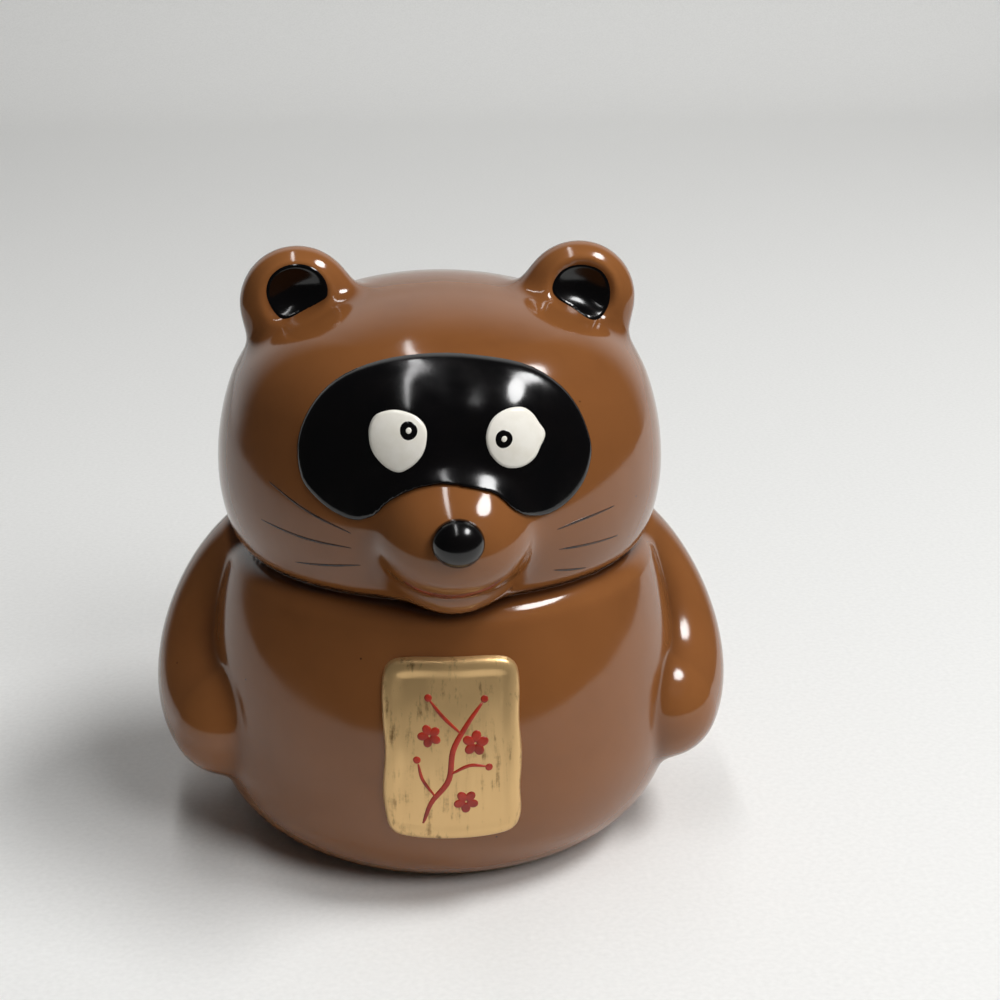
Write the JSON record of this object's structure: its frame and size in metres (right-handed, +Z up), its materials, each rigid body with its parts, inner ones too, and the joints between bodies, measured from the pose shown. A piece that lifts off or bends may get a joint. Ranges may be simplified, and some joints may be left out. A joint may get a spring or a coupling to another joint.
{
  "type": "tanuki figurine savings bank",
  "caption": "Glazed ceramic tanuki figurine that is a savings bank: a coin slot in the back of the head, a hollow torso and a pull-out stopper in the foot.",
  "frame": {"origin": "on the floor under the middle of the figure's box", "axes": "+Z up, -Y the way the face looks, +X the figure's left"},
  "size_m": [0.1022, 0.1012, 0.1038],
  "materials": {
    "brown_glaze": "gloss",
    "black_glaze": "gloss",
    "white_enamel": "gloss",
    "gold_lustre": "brushed gold lustre",
    "soft_vinyl": "matt"
  },
  "bodies": {
    "figure": {"torso_shell": "brown_glaze", "head_shell": "brown_glaze", "left_arm": "brown_glaze", "right_arm": "brown_glaze", "left_ear": "brown_glaze", "right_ear": "brown_glaze", "muzzle": "brown_glaze", "lower_lip": "brown_glaze", "tail": "brown_glaze", "nose": "black_glaze", "mask_panel": "black_glaze", "left_eye": "white_enamel", "right_eye": "white_enamel", "belly_plaque": "gold_lustre"},
    "stopper": {"base_stopper": "soft_vinyl"}
  },
  "joints": [
    {"name": "stopper_pull", "type": "slide", "parent": "figure", "child": "stopper", "axis": [0, 0, -1], "range_m": [0, 0.012]}
  ]
}
